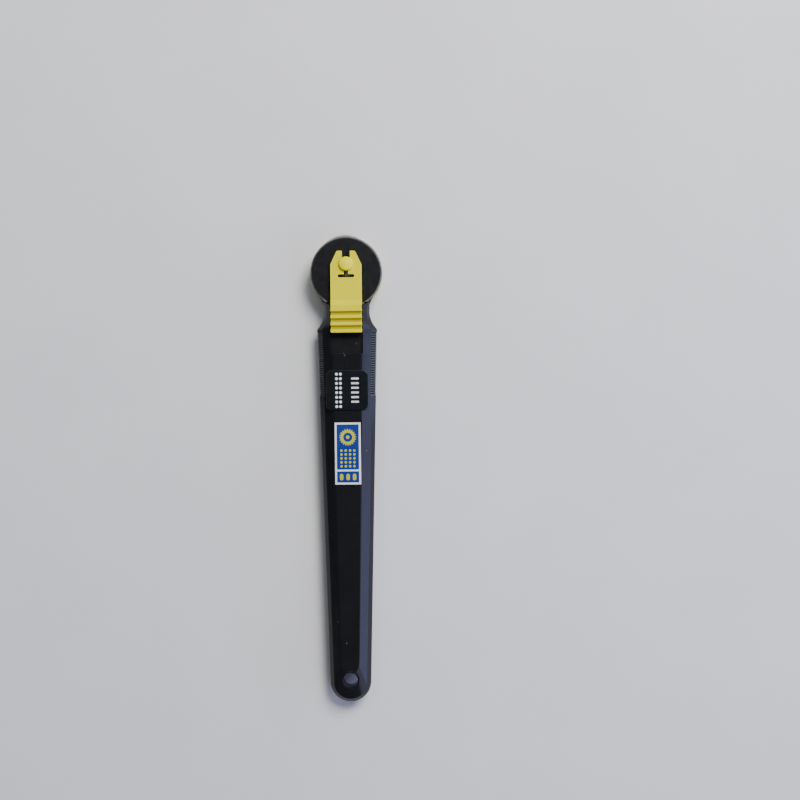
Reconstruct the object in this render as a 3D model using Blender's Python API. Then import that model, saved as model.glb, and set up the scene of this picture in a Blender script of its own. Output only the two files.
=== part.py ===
"""Rivet punch tool: a flat two-shell handle with a round guard head. A toothed wheel turns between
the two guard plates on an axle that a thumb slider carries in and out of the head.

The tool lies on its back. +Z is up through the thumb slider, +Y runs from the tail to the head, and
the origin is under the middle of the tool, on the surface that it lies on. Lengths are in millimetres
and become metres when a mesh is made.
"""

import math

import bmesh
import bpy

MM = 0.001

# Overall layout
LENGTH = 138.6  # tail end to the wheel's tooth tips
THICKNESS = 8.6  # over the flat bands of both shells
PARTING_GAP = 0.1
TAIL_Y = -LENGTH / 2

# Head and neck outline
HEAD_R = 10.6
HEAD_Y = 57.7
NECK_HALF = 6.7
NECK_R = 7.7
NECK_X = NECK_HALF + NECK_R
NECK_Y = HEAD_Y - math.sqrt((HEAD_R + NECK_R) ** 2 - NECK_X**2)

# Handle outline and section
TAIL_R = 6.05
TAIL_CENTRE_Y = TAIL_Y + TAIL_R
TAPER = 0.02734  # half-width gained for each millimetre towards the head
SHELL_END_Y = 48.9
STEP_TOP_Y = 47.5
EDGE_BAND = 1.2  # plan width of the steep outer band
GRIP_EDGE_BAND = 1.6
NECK_EDGE_BAND = 0.7
FLAT_HALF_TAIL = 2.6
FLAT_TAPER = 0.0225
FLAT_CURVE = 0.00006
NECK_FLAT_Y = 42.0  # where the neck's facets meet the flat
FLAT_END_Y = -60.1  # the flat band stops here, and the tail slopes down past it
EDGE_Z = 5.0
FACET_Z = 6.5
HANG_HOLE_Y = -62.6
HANG_HOLE_R = 2.2

# Finger grip
GROOVES = 27
GROOVE_PITCH = 0.69
GROOVE_DEPTH = 0.3
GROOVE_HALF = 0.25
GRIP_TOP_Y = 39.8

# Shell insides
WALL = 1.6
CEILING_Z = 7.2
CAVITY_TOP_Y = 40.0
CAVITY_END_Y = -57.0

# Guard plates
GUARD_FRONT_Z = (5.2, 7.2)
GUARD_REAR_Z = (1.6, 3.2)
GUARD_CHAMFER = 0.5
TANG_HALF = 5.2
TANG_CLEARANCE = 0.15
FRONT_TANG_Y = 27.3
REAR_TANG_Y = 41.5
LOCATING_PINS = ((-3.6, 44.0), (3.6, 44.0))
LOCATING_R = 1.0

# Slider and its window
TRAVEL = 5.0
WINDOW_HALF = 4.78
WINDOW_END_Y = 33.76
SLIDER_HALF = 4.58
SLIDER_TIP_Y = 63.85
SLIDER_END_Y = 39.85
SLIDER_Z = (7.35, 8.85)
RAMP_Y = 49.3
GRIP_Z = 10.15
GRIP_GROOVE_Z = 9.5
POST_HALF = 1.35
POST_Y = (45.1, 49.3)
KEEPER_Y = (39.9, 50.4)
SPRING_TIP_Y = 46.2

# Axle and wheel
AXLE_Y = 60.05
AXLE_R = 1.5
SPINDLE_R = 1.1
SPINDLE_Z = (1.75, 5.15)
KNOB_R = 2.05
KNOB_Z = (8.9, 9.95)
WHEEL_R = 9.25
WHEEL_ROOT_R = 8.7
WHEEL_FACE_R = 8.4
WHEEL_Z = (3.9, 4.5)
TEETH = 96
HEX_FLATS = 3.96

# Screws
SCREW_YS = (("front", 30.5), ("middle", -8.0), ("rear", -50.0))
SCREW_HEAD_R = 1.9
SCREW_SHANK_R = 0.95

# Finger pad and label
PAD_HALF = 6.35
PAD_Y = (16.75, 29.15)
PAD_TOP_Z = 8.95
LABEL_HALF = 3.8
LABEL_Y = (-4.7, 13.45)

COLOURS = {
    "black_plastic": ((0.012, 0.012, 0.014), 0.22, 0.0),
    "yellow_plastic": ((0.83, 0.69, 0.02), 0.35, 0.0),
    "wheel_steel": ((0.56, 0.56, 0.57), 0.3, 1.0),
    "pin_steel": ((0.6, 0.6, 0.6), 0.25, 1.0),
    "hub_brass": ((0.72, 0.55, 0.25), 0.3, 1.0),
    "spring_steel": ((0.42, 0.44, 0.48), 0.3, 1.0),
    "screw_steel": ((0.35, 0.35, 0.36), 0.35, 1.0),
    "inner_plastic": ((0.75, 0.75, 0.72), 0.45, 0.0),
    "label_vinyl": ((0.03, 0.09, 0.36), 0.3, 0.0),
}


# ---------------------------------------------------------------- scene and objects


def clear_scene():
    for obj in list(bpy.data.objects):
        bpy.data.objects.remove(obj)


def make_material(name):
    colour, roughness, metallic = COLOURS[name]
    mat = bpy.data.materials.new(name)
    mat.use_nodes = True
    shader = mat.node_tree.nodes["Principled BSDF"]
    shader.inputs["Base Color"].default_value = (*colour, 1.0)
    shader.inputs["Roughness"].default_value = roughness
    shader.inputs["Metallic"].default_value = metallic
    return mat


def material(name):
    return bpy.data.materials.get(name) or make_material(name)


def make_empty(name, origin, parent=None):
    empty = bpy.data.objects.new(name, None)
    empty["origin"] = origin
    bpy.context.scene.collection.objects.link(empty)
    place(empty, origin, parent)
    return empty


def place(obj, origin, parent):
    base = parent["origin"] if parent else (0.0, 0.0, 0.0)
    obj.parent = parent
    obj.location = [(a - b) * MM for a, b in zip(origin, base)]


def make_part(name, bm, slot, parent=None):
    """A part whose shape is given in the tool's frame. Its own origin is its parent's."""
    origin = tuple(parent["origin"]) if parent else (0.0, 0.0, 0.0)
    obj = make_mesh_object(name, bm, origin)
    obj.data.materials.append(material(slot))
    obj.data.shade_smooth()
    obj.data.set_sharp_from_angle(angle=math.radians(28))
    place(obj, origin, parent)
    return obj


def make_mesh_object(name, bm, origin):
    for vert in bm.verts:
        vert.co = [(c - o) * MM for c, o in zip(vert.co, origin)]
    bmesh.ops.recalc_face_normals(bm, faces=bm.faces)
    if bm.calc_volume(signed=True) < 0:
        bmesh.ops.reverse_faces(bm, faces=bm.faces)
    mesh = bpy.data.meshes.new(name)
    bm.to_mesh(mesh)
    bm.free()
    obj = bpy.data.objects.new(name, mesh)
    obj["origin"] = origin
    bpy.context.scene.collection.objects.link(obj)
    return obj


def boolean(target, bm, operation, label):
    """Adds or cuts the shape in bm. The helper object rides on its target and isn't a part."""
    tool = make_mesh_object(f"{target.name}.{label}", bm, tuple(target["origin"]))
    tool.parent = target
    tool.hide_render = True
    tool.display_type = "WIRE"
    modifier = target.modifiers.new(label, "BOOLEAN")
    modifier.operation = operation
    modifier.object = tool
    modifier.solver = "EXACT"


def cut(target, bm, label):
    boolean(target, bm, "DIFFERENCE", label)


def add(target, bm, label):
    boolean(target, bm, "UNION", label)


# ---------------------------------------------------------------- basic shapes


def close_rings(bm, rings):
    """Joins rings of the same number of points into one closed solid. Equal points become one."""
    count = len(rings[0])
    for low, high in zip(rings, rings[1:]):
        for i in range(count):
            j = (i + 1) % count
            bm.faces.new((low[i], low[j], high[j], high[i]))
    bm.faces.new(rings[0])
    bm.faces.new(rings[-1])
    bmesh.ops.remove_doubles(bm, verts=bm.verts, dist=1e-4)


def loft(loops):
    bm = bmesh.new()
    close_rings(bm, [[bm.verts.new(point) for point in loop] for loop in loops])
    return bm


def prism(outline, z_low, z_high):
    return loft([[(x, y, z) for x, y in outline] for z in (z_low, z_high)])


def box(x_span, y_span, z_span):
    (x0, x1), (y0, y1) = x_span, y_span
    return prism([(x0, y0), (x1, y0), (x1, y1), (x0, y1)], *z_span)


def circle(x, y, radius, segments=32, turn=0.0):
    angles = [turn + 2 * math.pi * i / segments for i in range(segments)]
    return [(x + radius * math.cos(a), y + radius * math.sin(a)) for a in angles]


def cylinder(x, y, radius, z_span, segments=32):
    return prism(circle(x, y, radius, segments), *z_span)


def turned(x, y, profile, segments=32):
    """A round solid about a vertical axis. The profile is (radius, z) from bottom to top."""
    return loft([[(px, py, z) for px, py in circle(x, y, r, segments)] for r, z in profile])


def slot_outline(x, y_low, y_high, radius, segments=10):
    """A slot along Y with round ends, between two end centres."""
    ends = ((y_high, 0.0), (y_low, math.pi))
    return [
        (x + radius * math.cos(start + a), y + radius * math.sin(start + a))
        for y, start in ends
        for a in (math.pi * i / segments for i in range(segments + 1))
    ]


def rounded_rectangle(half, y_low, y_high, radius, segments=6):
    corners = ((half, y_high, 0), (-half, y_high, 1), (-half, y_low, 2), (half, y_low, 3))
    points = []
    for x, y, quarter in corners:
        centre_x = x - math.copysign(radius, x)
        centre_y = y - radius if y == y_high else y + radius
        for i in range(segments + 1):
            a = math.pi / 2 * (quarter + i / segments)
            points.append((centre_x + radius * math.cos(a), centre_y + radius * math.sin(a)))
    return points


def profile_along_x(profile, x_span):
    """A solid whose (y, z) outline runs across the tool."""
    return loft([[(x, y, z) for y, z in profile] for x in x_span])


# ---------------------------------------------------------------- handle section


def blend(value, start, end, low, high):
    t = min(1.0, max(0.0, (value - start) / (end - start)))
    t = t * t * (3 - 2 * t)
    return low + (high - low) * t


def half_width(y):
    """Plan half-width of the handle and neck, without the grip's ridges."""
    tapered = TAIL_R + TAPER * (y - TAIL_CENTRE_Y)
    if abs(y - NECK_Y) >= NECK_R:
        return tapered
    return min(tapered, NECK_X - math.sqrt(NECK_R**2 - (y - NECK_Y) ** 2))


def facet_half(y):
    handle_band = blend(y, 0.0, 22.0, EDGE_BAND, GRIP_EDGE_BAND)
    return half_width(y) - blend(y, 41.0, 46.0, handle_band, NECK_EDGE_BAND)


def flat_half(y):
    along = y - TAIL_CENTRE_Y
    return FLAT_HALF_TAIL + FLAT_TAPER * along - FLAT_CURVE * along**2


def grip_start_y():
    """Where the neck's hollow meets the straight side of the grip."""
    low, high = NECK_Y - NECK_R + 0.01, NECK_Y
    while high - low > 1e-4:
        middle = (low + high) / 2
        arc = NECK_X - math.sqrt(NECK_R**2 - (middle - NECK_Y) ** 2)
        tapered = TAIL_R + TAPER * (middle - TAIL_CENTRE_Y)
        low, high = (middle, high) if arc > tapered else (low, middle)
    return high


def handle_stations():
    """Y of each section, from the neck end to the tail's round."""
    corner = grip_start_y()
    neck_top = 46.9
    steps = 7
    neck = [neck_top + (corner - neck_top) * i / steps for i in range(steps + 1)]
    return [SHELL_END_Y, *neck, 36.0, 22.0, 11.0, 0.0, -32.0, TAIL_CENTRE_Y]


def handle_loop(z, level, grow=0.0):
    """One closed loop round the handle: level is edge, facet or flat."""
    right = []
    for y in handle_stations():
        if level == "edge":
            x = half_width(y)
        elif level == "facet":
            x = facet_half(y)
        else:
            x = flat_half(y)
        if level == "flat" and y == SHELL_END_Y:
            y = STEP_TOP_Y
        elif level == "flat" and y > 38.0:  # the neck's sections meet in one point of the flat
            x, y = flat_half(NECK_FLAT_Y), NECK_FLAT_Y
        if level == "flat" and y == TAIL_CENTRE_Y:
            y = FLAT_END_Y + x
        right.append((x + grow, y))
    tail_r, tail_y = right[-1]
    arc_steps = 20
    arc = [
        (tail_r * math.cos(a), tail_y + tail_r * math.sin(a))
        for a in (-math.pi * i / arc_steps for i in range(1, arc_steps))
    ]
    left = [(-x, y) for x, y in reversed(right)]
    return [(x, y, z) for x, y in right + arc + left]


def mirrored(z, rear):
    return THICKNESS - z if rear else z


def shell_blank(rear, grow=0.0):
    """The solid outer shape of one half of the handle."""
    parting = (THICKNESS + PARTING_GAP) / 2
    levels = (
        (parting, "edge"),
        (EDGE_Z, "edge"),
        (FACET_Z + grow, "facet"),
        (THICKNESS + grow, "flat"),
    )
    return loft([handle_loop(mirrored(z, rear), level, grow) for z, level in levels])


def grip_grooves(rear):
    """V-shaped grooves across the steep band on both sides, as one cutter."""
    bm = bmesh.new()
    out = 0.25  # how far the cutter stands out of the band
    spread = GROOVE_HALF * (GROOVE_DEPTH + out) / GROOVE_DEPTH
    for i in range(GROOVES):
        y = GRIP_TOP_Y - i * GROOVE_PITCH
        edge, facet = half_width(y), facet_half(y)
        path = ((edge, THICKNESS / 2 - 0.3), (edge, EDGE_Z), (facet + 0.12, FACET_Z - 0.05))
        for side in (1, -1):
            rings = [
                [
                    bm.verts.new((side * (x - GROOVE_DEPTH), y, mirrored(z, rear))),
                    bm.verts.new((side * (x + out), y + spread, mirrored(z, rear))),
                    bm.verts.new((side * (x + out), y - spread, mirrored(z, rear))),
                ]
                for x, z in path
            ]
            close_rings(bm, rings)
    return bm


def cavity(rear):
    """The long hollow of one half, tapered like the outside."""
    open_z = THICKNESS / 2 - 0.3
    loops = []
    for y in (CAVITY_END_Y, CAVITY_TOP_Y):
        wide = half_width(y) - WALL
        middle = facet_half(y) - WALL
        narrow = min(flat_half(y), middle) - 0.6
        right = [(wide, open_z), (wide, EDGE_Z), (middle, FACET_Z - 0.3), (narrow, CEILING_Z)]
        points = right + [(-x, z) for x, z in reversed(right)]
        loops.append([(x, y, mirrored(z, rear)) for x, z in points])
    return loft(loops)


# ---------------------------------------------------------------- handle parts


def make_front_shell():
    shell = make_part("front_shell", shell_blank(rear=False), "black_plastic")
    cut(shell, grip_grooves(rear=False), "grip_grooves")
    pocket_half = TANG_HALF + TANG_CLEARANCE
    pocket_y = (FRONT_TANG_Y - 0.4, SHELL_END_Y + 2)
    cut(shell, cavity(rear=False), "cavity")
    pocket = box((-pocket_half, pocket_half), pocket_y, (4.0, GUARD_FRONT_Z[1] + 0.05))
    cut(shell, pocket, "tang_pocket")
    window = box((-WINDOW_HALF, WINDOW_HALF), (WINDOW_END_Y, SHELL_END_Y + 2), (7.0, 10.0))
    cut(shell, window, "slider_window")
    cut(shell, wheel_pocket(), "wheel_pocket")
    for name, y in SCREW_YS:
        add(shell, cylinder(0, y, 2.2, (4.4, 7.6), 24), f"{name}_boss")
        cut(shell, cylinder(0, y, 1.0, (4.0, 7.1), 16), f"{name}_pilot")
    cut(shell, hang_hole(), "hang_hole")
    return shell


def make_rear_shell():
    shell = make_part("rear_shell", shell_blank(rear=True), "black_plastic")
    cut(shell, grip_grooves(rear=True), "grip_grooves")
    pocket_half = TANG_HALF + TANG_CLEARANCE
    cut(shell, cavity(rear=True), "cavity")
    pocket_y = (REAR_TANG_Y - 1.8, SHELL_END_Y + 2)
    pocket = box((-pocket_half, pocket_half), pocket_y, (GUARD_REAR_Z[0] - 0.05, 5.0))
    cut(shell, pocket, "tang_pocket")
    cut(shell, wheel_pocket(), "wheel_pocket")
    for i, (x, y) in enumerate(LOCATING_PINS):
        pin = cylinder(x, y, LOCATING_R, (1.0, GUARD_REAR_Z[1] - 0.1), 20)
        add(shell, pin, f"locating_pin_{i + 1}")
    for name, y in SCREW_YS:
        add(shell, cylinder(0, y, 2.9, (0.5, 4.2), 24), f"{name}_boss")
        cut(shell, cylinder(0, y, SCREW_HEAD_R + 0.2, (-1.0, 1.6), 28), f"{name}_counterbore")
        cut(shell, cylinder(0, y, SCREW_SHANK_R + 0.1, (1.0, 5.0), 16), f"{name}_hole")
    cut(shell, hang_hole(), "hang_hole")
    return shell


def wheel_pocket():
    """Room for the wheel between the shells when the slider is back."""
    return cylinder(0, AXLE_Y - TRAVEL, WHEEL_R + 0.7, (GUARD_REAR_Z[1] - 0.05, 5.25), 64)


def hang_hole():
    return cylinder(0, HANG_HOLE_Y, HANG_HOLE_R, (-1.0, THICKNESS + 1.0), 36)


def make_finger_pad():
    pad_low, pad_high = PAD_Y
    draft = 0.35
    base = rounded_rectangle(PAD_HALF, pad_low, pad_high, 2.0)
    shoulder = rounded_rectangle(PAD_HALF - 0.1, pad_low + 0.1, pad_high - 0.1, 1.9)
    top = rounded_rectangle(PAD_HALF - draft, pad_low + draft, pad_high - draft, 1.65)
    heights = ((base, 6.0), (shoulder, PAD_TOP_Z - 0.25), (top, PAD_TOP_Z))
    pad = make_part(
        "finger_pad",
        loft([[(x, y, z) for x, y in outline] for outline, z in heights]),
        "black_plastic",
    )
    cut(pad, shell_blank(rear=False, grow=0.05), "shell_seat")


def make_front_label():
    """A thin sticker that lies on the flat band and folds a little over both its edges."""
    rise = (0.03, 0.15)
    loops = []
    for y in LABEL_Y:
        edge = min(flat_half(y), LABEL_HALF - 0.02)
        fall = (LABEL_HALF - edge) * (THICKNESS - FACET_Z) / (facet_half(y) - edge)
        under = [(-LABEL_HALF, -fall), (-edge, 0.0), (edge, 0.0), (LABEL_HALF, -fall)]
        low = [(x, THICKNESS + rise[0] + z) for x, z in under]
        high = [(x, THICKNESS + rise[1] + z) for x, z in reversed(under)]
        loops.append([(x, y, z) for x, z in low + high])
    make_part("front_label", loft(loops), "label_vinyl")


def make_case_screw(name, y):
    """A pan-head self-tapping screw, driven in from the back."""
    profile = (
        (1.45, 0.3),
        (SCREW_HEAD_R, 0.75),
        (SCREW_HEAD_R, 1.5),
        (SCREW_SHANK_R, 1.5),
        (SCREW_SHANK_R, 6.2),
        (0.3, 6.8),
    )
    screw = make_part(f"case_screw_{name}", turned(0, y, profile, 24), "screw_steel")
    for label, (half_x, half_y) in (("drive_x", (1.0, 0.22)), ("drive_y", (0.22, 1.0))):
        blade = box((-half_x, half_x), (y - half_y, y + half_y), (0.0, 0.85))
        cut(screw, blade, label)


# ---------------------------------------------------------------- guard plates


def guard_outline(inset, tang_y):
    """The round guard with its hollow neck, and the narrower tang that the shells hold."""
    angle = math.atan2(NECK_Y - HEAD_Y, NECK_X)
    disc_steps = 60
    span = math.pi - 2 * angle
    disc = [
        ((HEAD_R - inset) * math.cos(a), HEAD_Y + (HEAD_R - inset) * math.sin(a))
        for a in (angle + span * i / disc_steps for i in range(disc_steps + 1))
    ]
    shoulder_y = SHELL_END_Y + 0.05
    reach = NECK_R + inset
    end = math.asin((shoulder_y - NECK_Y) / reach)
    arc_steps = 4
    arc = []
    for i in range(arc_steps):
        a = math.pi - (end + (-angle - end) * i / arc_steps)
        arc.append((NECK_X + reach * math.cos(a), NECK_Y + reach * math.sin(a)))
    right = [(TANG_HALF, tang_y), (TANG_HALF, shoulder_y)] + arc
    return right + disc + [(-x, y) for x, y in reversed(right)]


def guard_plate(z_span, tang_y):
    z_low, z_high = z_span
    loops = ((GUARD_CHAMFER / 2, z_low), (0.0, z_low + 0.2))
    loops += ((0.0, z_high - 0.2), (GUARD_CHAMFER / 2, z_high))
    return loft([[(x, y, z) for x, y in guard_outline(i, tang_y)] for i, z in loops])


def make_front_guard():
    guard = make_part("front_guard", guard_plate(GUARD_FRONT_Z, FRONT_TANG_Y), "black_plastic")
    through = (GUARD_FRONT_Z[0] - 1, GUARD_FRONT_Z[1] + 1)
    axle_slot = slot_outline(0, AXLE_Y - TRAVEL, AXLE_Y, AXLE_R + 0.2)
    cut(guard, prism(axle_slot, *through), "axle_slot")
    post_gap = 0.1
    post_y = (POST_Y[0] - TRAVEL - post_gap, POST_Y[1] + post_gap)
    post_half = POST_HALF + 0.2
    cut(guard, box((-post_half, post_half), post_y, through), "post_slot")
    cut(guard, cylinder(0, SCREW_YS[0][1], 2.35, through, 24), "boss_hole")
    for name, y in (("extended", SPRING_TIP_Y), ("retracted", SPRING_TIP_Y - TRAVEL)):
        under, depth = GUARD_FRONT_Z[0], 0.35
        notch = [(y - 0.6, under - 0.2), (y + 0.6, under - 0.2), (y, under + depth)]
        for side, x_span in (("left", (-4.4, -1.9)), ("right", (1.9, 4.4))):
            cut(guard, profile_along_x(notch, x_span), f"{name}_notch_{side}")
    return guard


def make_rear_guard():
    guard = make_part("rear_guard", guard_plate(GUARD_REAR_Z, REAR_TANG_Y), "yellow_plastic")
    through = (GUARD_REAR_Z[0] - 1, GUARD_REAR_Z[1] + 1)
    spindle_slot = slot_outline(0, AXLE_Y - TRAVEL, AXLE_Y, SPINDLE_R + 0.2)
    cut(guard, prism(spindle_slot, *through), "spindle_slot")
    for i, (x, y) in enumerate(LOCATING_PINS):
        cut(guard, cylinder(x, y, LOCATING_R + 0.1, through, 20), f"locating_hole_{i + 1}")
    return guard


# ---------------------------------------------------------------- slider


def slider_grip_profile():
    """(y, z) of the raised rear half: a ramp, then four ridges with grooves between."""
    pitch, ridge, bank = 2.07, 0.85, 0.18
    profile = [(RAMP_Y, SLIDER_Z[0] + 0.2), (RAMP_Y, SLIDER_Z[1])]
    profile += [(RAMP_Y - 1.3, GRIP_Z - 0.2), (RAMP_Y - 1.55, GRIP_Z)]
    ridge_end = SLIDER_END_Y + 3 * pitch + ridge
    for i in range(4):
        low = ridge_end - ridge - i * pitch
        if i:
            profile.append((low + ridge, GRIP_Z))
        profile.append((low, GRIP_Z))
        if i < 3:
            profile.append((low - bank, GRIP_GROOVE_Z))
            profile.append((low - pitch + ridge + bank, GRIP_GROOVE_Z))
    profile[-1] = (SLIDER_END_Y + 0.1, GRIP_Z)
    profile += [(SLIDER_END_Y, GRIP_Z - 0.15), (SLIDER_END_Y, SLIDER_Z[0] + 0.2)]
    return profile


def make_thumb_slider(carriage):
    tip_half, jaw_y = 2.67, SLIDER_TIP_Y - 4.0
    right = [(SLIDER_HALF, SLIDER_END_Y), (SLIDER_HALF, jaw_y), (tip_half, SLIDER_TIP_Y)]
    outline = right + [(-x, y) for x, y in reversed(right)]
    slider = make_part("thumb_slider", prism(outline, *SLIDER_Z), "yellow_plastic", carriage)
    grip = profile_along_x(slider_grip_profile(), (-SLIDER_HALF + 0.01, SLIDER_HALF - 0.01))
    add(slider, grip, "grip")
    post_x = (-POST_HALF, POST_HALF)
    add(slider, box(post_x, POST_Y, (3.6, SLIDER_Z[0] + 0.3)), "post")
    add(slider, box(post_x, (POST_Y[0] - 0.3, POST_Y[1] + 0.3), (3.5, 3.85)), "post_hook")
    through = (SLIDER_Z[0] - 1, SLIDER_Z[1] + 0.3)
    cut(slider, box((-1.2, 1.2), (AXLE_Y + 0.5, SLIDER_TIP_Y + 1), through), "pry_notch")
    cut(slider, cylinder(0, AXLE_Y, AXLE_R + 0.1, through, 32), "axle_hole")
    bar_y = 56.55
    cut(slider, box((-0.65, 0.65), (bar_y, AXLE_Y - 0.5), through), "jaw_slit")
    bar = [(y, x + bar_y) for x, y in slot_outline(0, -1.95, 1.95, 0.5, 8)]
    cut(slider, prism(bar, *through), "flex_slot")
    return slider


def make_slider_keeper(carriage):
    """The plate inside the handle that holds the slider's post down."""
    keeper = make_part(
        "slider_keeper", box((-4.6, 4.6), KEEPER_Y, (3.9, 4.5)), "inner_plastic", carriage
    )
    hole_x = (-POST_HALF - 0.1, POST_HALF + 0.1)
    cut(keeper, box(hole_x, (POST_Y[0] - 0.1, POST_Y[1] + 0.1), (3.0, 5.0)), "post_hole")


def make_detent_spring(carriage):
    """A U-shaped leaf spring. A bump on each arm clicks into the guard's notches."""
    thick = 0.25
    base_z = 4.55
    line = ((40.1, 0.0), (43.0, 0.0), (45.5, 0.2), (SPRING_TIP_Y, 0.33), (46.9, 0.15))
    low = [(y, base_z + z) for y, z in line]
    high = [(y, base_z + z + thick) for y, z in reversed(line)]
    spring = make_part(
        "detent_spring", profile_along_x(low + high, (2.0, 4.2)), "spring_steel", carriage
    )
    add(spring, profile_along_x(low + high, (-4.2, -2.0)), "left_arm")
    crossbar = box((-4.1, 4.1), (40.1 - 0.05, 40.8), (base_z - 0.01, base_z + thick + 0.01))
    add(spring, crossbar, "crossbar")


# ---------------------------------------------------------------- axle and wheel


def make_axle(pivot):
    """A stepped steel pin with a moulded knob. It pulls out upwards to free the wheel."""
    spigot_r, spigot_top = 0.9, 9.45
    pin = (
        (SPINDLE_R - 0.3, SPINDLE_Z[0]),
        (SPINDLE_R, SPINDLE_Z[0] + 0.3),
        (SPINDLE_R, SPINDLE_Z[1]),
        (AXLE_R, SPINDLE_Z[1]),
        (AXLE_R, KNOB_Z[0] - 0.05),
        (spigot_r, KNOB_Z[0] - 0.05),
        (spigot_r, spigot_top),
    )
    make_part("axle_pin", turned(0, AXLE_Y, pin), "pin_steel", pivot)
    knob_low, knob_high = KNOB_Z
    dome = [
        (KNOB_R - 0.05, knob_low),
        (KNOB_R, knob_low + 0.05),
        (KNOB_R, knob_low + 0.55),
        (KNOB_R - 0.12, knob_low + 0.78),
        (KNOB_R - 0.45, knob_low + 0.93),
        (KNOB_R - 1.1, knob_high - 0.02),
        (0.3, knob_high),
    ]
    knob = make_part("axle_knob", turned(0, AXLE_Y, dome, 40), "yellow_plastic", pivot)
    socket = cylinder(0, AXLE_Y, spigot_r + 0.05, (knob_low - 1, spigot_top + 0.05), 24)
    cut(knob, socket, "spigot_socket")


def wheel_outline(tip_r, root_r):
    """Two points for each tooth, with a tip straight ahead."""
    points = []
    for i in range(TEETH):
        for radius, part in ((tip_r, 0.0), (root_r, 0.5)):
            a = math.pi / 2 + 2 * math.pi * (i + part) / TEETH
            points.append((radius * math.cos(a), AXLE_Y + radius * math.sin(a)))
    return points


def hexagon(flats):
    return circle(0, AXLE_Y, flats / math.sqrt(3), 6, math.pi / 6)


def make_wheel_set(pivot):
    z_low, z_high = WHEEL_Z
    face = wheel_outline(WHEEL_FACE_R, WHEEL_FACE_R)
    teeth = wheel_outline(WHEEL_R, WHEEL_ROOT_R)
    levels = ((face, z_low), (teeth, z_low + 0.2), (teeth, z_high - 0.2), (face, z_high))
    wheel = make_part(
        "rivet_wheel",
        loft([[(x, y, z) for x, y in outline] for outline, z in levels]),
        "wheel_steel",
        pivot,
    )
    cut(wheel, prism(hexagon(HEX_FLATS), z_low - 1, z_high + 1), "hex_hole")

    bore = SPINDLE_R + 0.1
    hub = make_part("hex_hub", cylinder(0, AXLE_Y, 3.0, (3.5, 3.85), 36), "hub_brass", pivot)
    add(hub, prism(hexagon(HEX_FLATS - 0.12), 3.7, 4.75), "hex_boss")
    cut(hub, cylinder(0, AXLE_Y, bore, (3.0, 5.0), 24), "bore")

    for name, z_span, outer in (("front_washer", (4.8, 5.1), 3.2), ("rear_washer", (3.25, 3.45), 2.8)):
        slot = "spring_steel" if name == "rear_washer" else "pin_steel"
        washer = make_part(name, cylinder(0, AXLE_Y, outer, z_span, 36), slot, pivot)
        cut(washer, cylinder(0, AXLE_Y, bore, (3.0, 6.0), 24), "bore")


def main():
    clear_scene()
    make_front_shell()
    make_rear_shell()
    make_front_guard()
    make_rear_guard()
    make_finger_pad()
    make_front_label()
    for name, y in SCREW_YS:
        make_case_screw(name, y)
    carriage = make_empty("slider_carriage", (0.0, AXLE_Y, SLIDER_Z[0]))
    make_thumb_slider(carriage)
    make_slider_keeper(carriage)
    make_detent_spring(carriage)
    axle_axis = make_empty("axle_axis", (0.0, AXLE_Y, KNOB_Z[0]), carriage)
    make_axle(axle_axis)
    wheel_axis = make_empty("wheel_axis", (0.0, AXLE_Y, sum(WHEEL_Z) / 2), carriage)
    make_wheel_set(wheel_axis)


main()
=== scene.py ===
"""Finished look of the rivet punch tool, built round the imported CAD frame.

The visible plastic and steel pieces are remade here on the CAD's outlines, with rounded edges, fine
grip ridges, tooth shapes and printed marks. Their hidden inner details are simpler than the CAD's. The
hub, washers, spring and keeper stay as CAD, with better materials. Lengths are in millimetres and become
metres when a mesh is made.
"""

import math

import bmesh
import bpy
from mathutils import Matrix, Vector


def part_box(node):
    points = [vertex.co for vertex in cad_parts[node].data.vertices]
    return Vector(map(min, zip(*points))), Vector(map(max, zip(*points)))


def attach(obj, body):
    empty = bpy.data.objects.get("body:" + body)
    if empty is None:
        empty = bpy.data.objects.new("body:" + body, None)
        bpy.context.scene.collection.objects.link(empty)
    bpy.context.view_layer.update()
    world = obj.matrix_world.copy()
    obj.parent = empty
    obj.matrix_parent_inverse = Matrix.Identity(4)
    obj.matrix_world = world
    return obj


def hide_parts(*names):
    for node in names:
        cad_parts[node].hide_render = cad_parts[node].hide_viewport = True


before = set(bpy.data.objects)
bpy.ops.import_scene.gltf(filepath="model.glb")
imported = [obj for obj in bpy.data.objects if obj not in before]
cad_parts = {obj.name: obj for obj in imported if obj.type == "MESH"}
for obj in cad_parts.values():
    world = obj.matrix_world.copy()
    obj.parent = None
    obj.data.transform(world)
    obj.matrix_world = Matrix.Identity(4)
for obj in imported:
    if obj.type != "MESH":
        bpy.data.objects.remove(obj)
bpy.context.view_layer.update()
MM = 0.001


def cad_span(node, axis):
    """A node's lowest and highest coordinate along an axis, in millimetres."""
    low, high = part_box(node)
    return low[axis] / MM, high[axis] / MM


# ---------------------------------------------------------------- sizes, in millimetres

TAIL_Y = cad_span("front_shell", 1)[0]
THICKNESS = cad_span("front_shell", 2)[1]
GUARD_FRONT_Z = cad_span("front_guard", 2)
GUARD_REAR_Z = cad_span("rear_guard", 2)
HEAD_R = cad_span("front_guard", 0)[1]
HEAD_Y = cad_span("front_guard", 1)[1] - HEAD_R
WHEEL_Z = cad_span("rivet_wheel", 2)
WHEEL_R = 9.25
AXLE_Y = cad_span("rivet_wheel", 1)[1] - WHEEL_R
SLIDER_END_Y, SLIDER_TIP_Y = cad_span("thumb_slider", 1)
SLIDER_HALF = cad_span("thumb_slider", 0)[1]
SLIDER_TOP_Z = cad_span("thumb_slider", 2)[1]
KNOB_Z = cad_span("axle_knob", 2)
KNOB_R = cad_span("axle_knob", 0)[1]
PIN_Z = cad_span("axle_pin", 2)
PAD_Y = cad_span("finger_pad", 1)
PAD_HALF = cad_span("finger_pad", 0)[1]
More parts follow.
